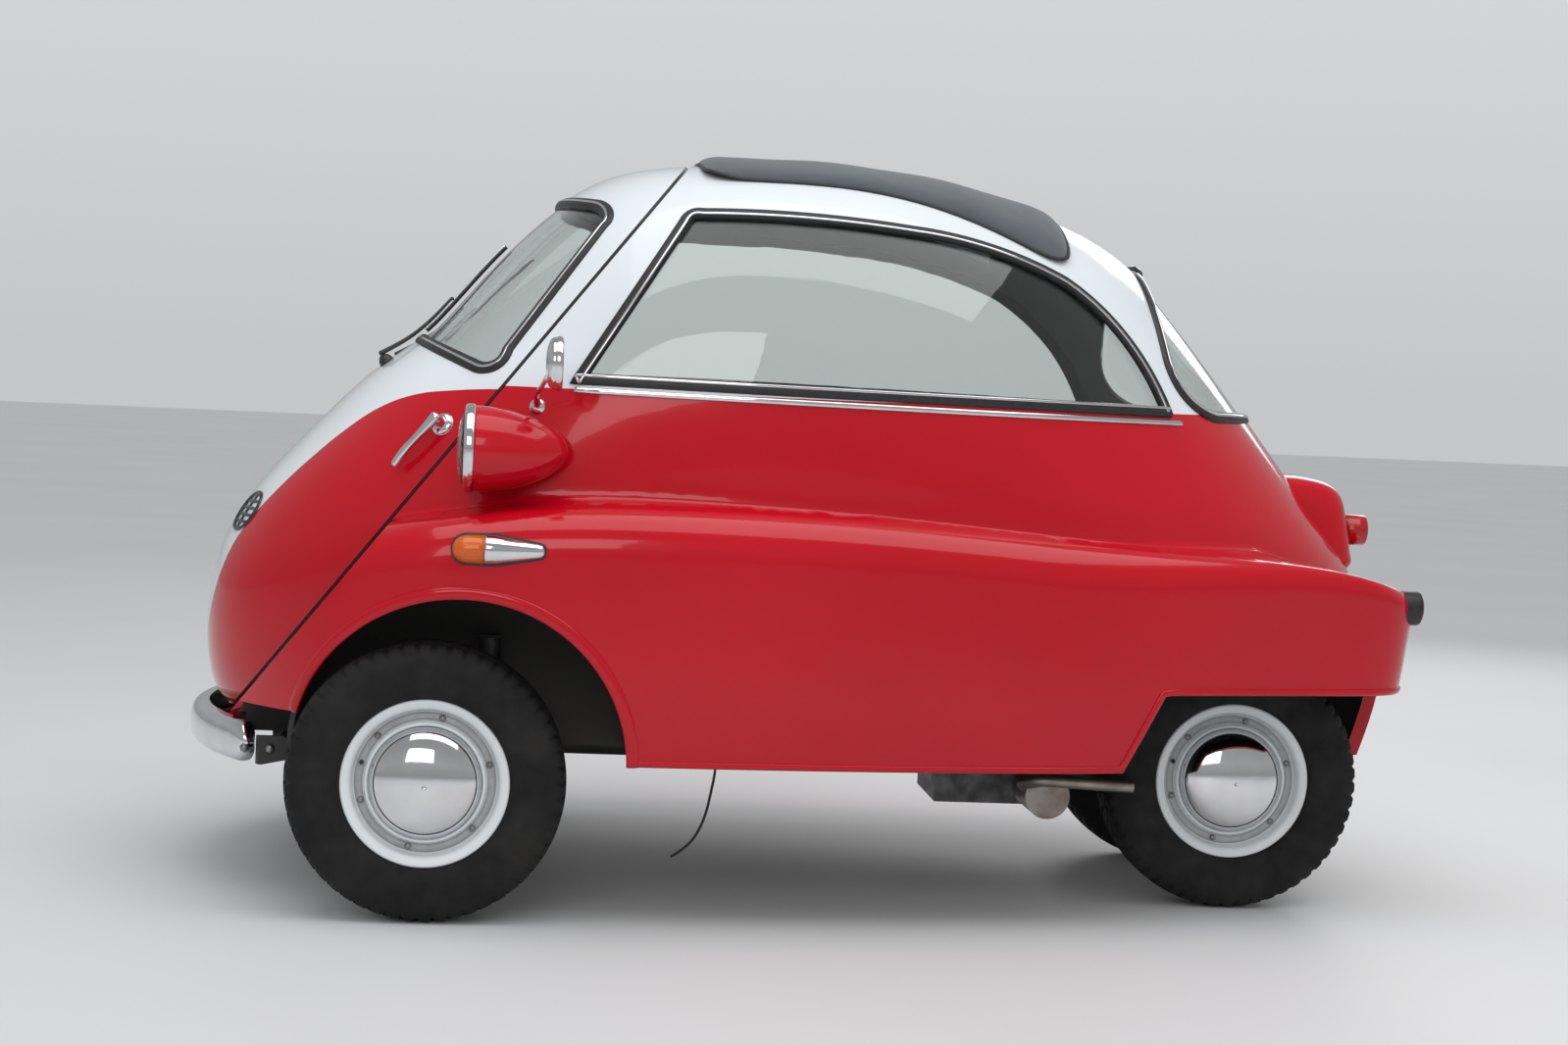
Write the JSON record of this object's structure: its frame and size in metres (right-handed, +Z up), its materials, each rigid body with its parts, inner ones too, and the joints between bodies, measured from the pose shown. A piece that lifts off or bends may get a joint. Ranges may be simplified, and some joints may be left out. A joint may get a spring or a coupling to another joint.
{
  "type": "bubble car",
  "caption": "Egg-shaped microcar with a front door that carries the windscreen and steering column, narrow twin rear wheels, pontoon wings, folding cloth roof and side engine lid",
  "frame": {"origin": "Middle of the base of the overall box: on the ground under the car, on its middle plane, halfway between the bumper's front and the tail.", "axes": "-X is the front of the car and +X its tail, -Y is the car's left side, +Z is up. X is the longest extent."},
  "size_m": [2.3037, 1.4258, 1.384],
  "materials": {
    "red_paint": "gloss",
    "white_paint": "gloss",
    "grey_paint": "satin",
    "wheel_paint": "gloss",
    "black_paint": "satin",
    "clear_glass": "polished",
    "black_rubber": "matte",
    "roof_cloth": "matte",
    "seat_cloth": "matte",
    "bright_chrome": "polished",
    "amber_plastic": "gloss",
    "red_plastic": "gloss",
    "black_tyre": "matte",
    "steel": "satin",
    "engine_metal": "matte",
    "ivory_plastic": "gloss",
    "black_plastic": "matte"
  },
  "bodies": {
    "body": {"lower_body": "red_paint", "roof_shell": "white_paint", "lid_hinges": "red_paint", "side_windows": "clear_glass", "side_window_seals": "black_rubber", "rear_window": "clear_glass", "rear_window_seal": "black_rubber", "folding_roof": "roof_cloth", "floor_pan": "grey_paint", "wheelhouses": "grey_paint", "rear_bulkhead": "grey_paint", "seat_cushion": "seat_cloth", "seat_backrest": "seat_cloth", "seat_frame": "black_paint", "headlamp_pods": "red_paint", "headlamp_rings": "bright_chrome", "headlamp_lenses": "clear_glass", "indicator_housings": "bright_chrome", "indicator_lenses": "amber_plastic", "tail_lamps": "red_plastic", "plate_plinth": "red_paint", "stop_lamp": "red_plastic", "front_bumper": "bright_chrome", "bumper_brackets": "black_paint", "mirrors": "bright_chrome", "hinge_posts": "white_paint", "chassis_frame": "black_paint", "front_axle": "black_paint", "rear_axle_casing": "black_paint", "engine": "engine_metal", "exhaust": "steel", "pedals": "black_rubber", "hand_levers": "black_paint", "steering_box": "black_paint", "loose_cable": "black_plastic", "cable_grommet": "black_rubber"},
    "door": {"front_door": "white_paint", "door_hinges": "white_paint", "dashboard": "grey_paint", "steering_column": "black_paint", "windscreen": "clear_glass", "windscreen_seal": "black_rubber", "wipers": "bright_chrome", "door_handle": "bright_chrome", "vent_grilles": "black_paint"},
    "steering": {"steering_wheel": "ivory_plastic"},
    "lid": {"engine_lid": "red_paint"},
    "steer_left": {"knuckle_left": "steel"},
    "steer_right": {"knuckle_right": "steel"},
    "wheel_front_left": {"front_tyre_left": "black_tyre", "front_rim_left": "wheel_paint", "front_hubcap_left": "bright_chrome"},
    "wheel_front_right": {"front_tyre_right": "black_tyre", "front_rim_right": "wheel_paint", "front_hubcap_right": "bright_chrome"},
    "wheels_rear": {"rear_tyres": "black_tyre", "rear_rims": "wheel_paint", "rear_hubcaps": "bright_chrome", "rear_axle_shaft": "steel"},
    "track_rod": {"tie_rod": "steel"}
  },
  "joints": [
    {"name": "front_door_hinge", "type": "hinge", "parent": "body", "child": "door", "pos_m": [-0.75595, 0.503, 0.7], "axis": [-0.6119, -0.0559, -0.7889], "range_deg": [0, 75]},
    {"name": "steering_wheel_turn", "type": "hinge", "parent": "door", "child": "steering", "pos_m": [-0.384, 0.27, 0.83], "axis": [0.7377, 0, 0.6751], "range_deg": [-300, 300]},
    {"name": "engine_lid_hinge", "type": "hinge", "parent": "body", "child": "lid", "pos_m": [0.326, 0.63366, 0.632], "axis": [0.9781, -0.2082, 0], "range_deg": [0, 70]},
    {"name": "steer_left", "type": "hinge", "parent": "body", "child": "steer_left", "pos_m": [-0.684, -0.59, 0.243], "axis": [0, 0, 1], "range_deg": [-25, 25]},
    {"name": "steer_right", "type": "hinge", "parent": "body", "child": "steer_right", "pos_m": [-0.684, 0.59, 0.243], "axis": [0, 0, 1], "range_deg": [-25, 25]},
    {"name": "wheel_turn_front_left", "type": "hinge", "parent": "steer_left", "child": "wheel_front_left", "pos_m": [-0.684, -0.6, 0.243], "axis": [0, 1, 0], "continuous": true},
    {"name": "wheel_turn_front_right", "type": "hinge", "parent": "steer_right", "child": "wheel_front_right", "pos_m": [-0.684, 0.6, 0.243], "axis": [0, 1, 0], "continuous": true},
    {"name": "wheel_turn_rear", "type": "hinge", "parent": "body", "child": "wheels_rear", "pos_m": [0.816, 0, 0.243], "axis": [0, 1, 0], "continuous": true},
    {"name": "tie_rod_pivot", "type": "hinge", "parent": "steer_left", "child": "track_rod", "pos_m": [-0.624, -0.59, 0.221], "axis": [0, 0, 1], "range_deg": [-25, 25]}
  ],
  "couplings": [
    {"joint": "steer_right", "follows": "steer_left", "ratio": 1},
    {"joint": "steering_wheel_turn", "follows": "steer_left", "ratio": 12},
    {"joint": "tie_rod_pivot", "follows": "steer_left", "ratio": -1}
  ]
}
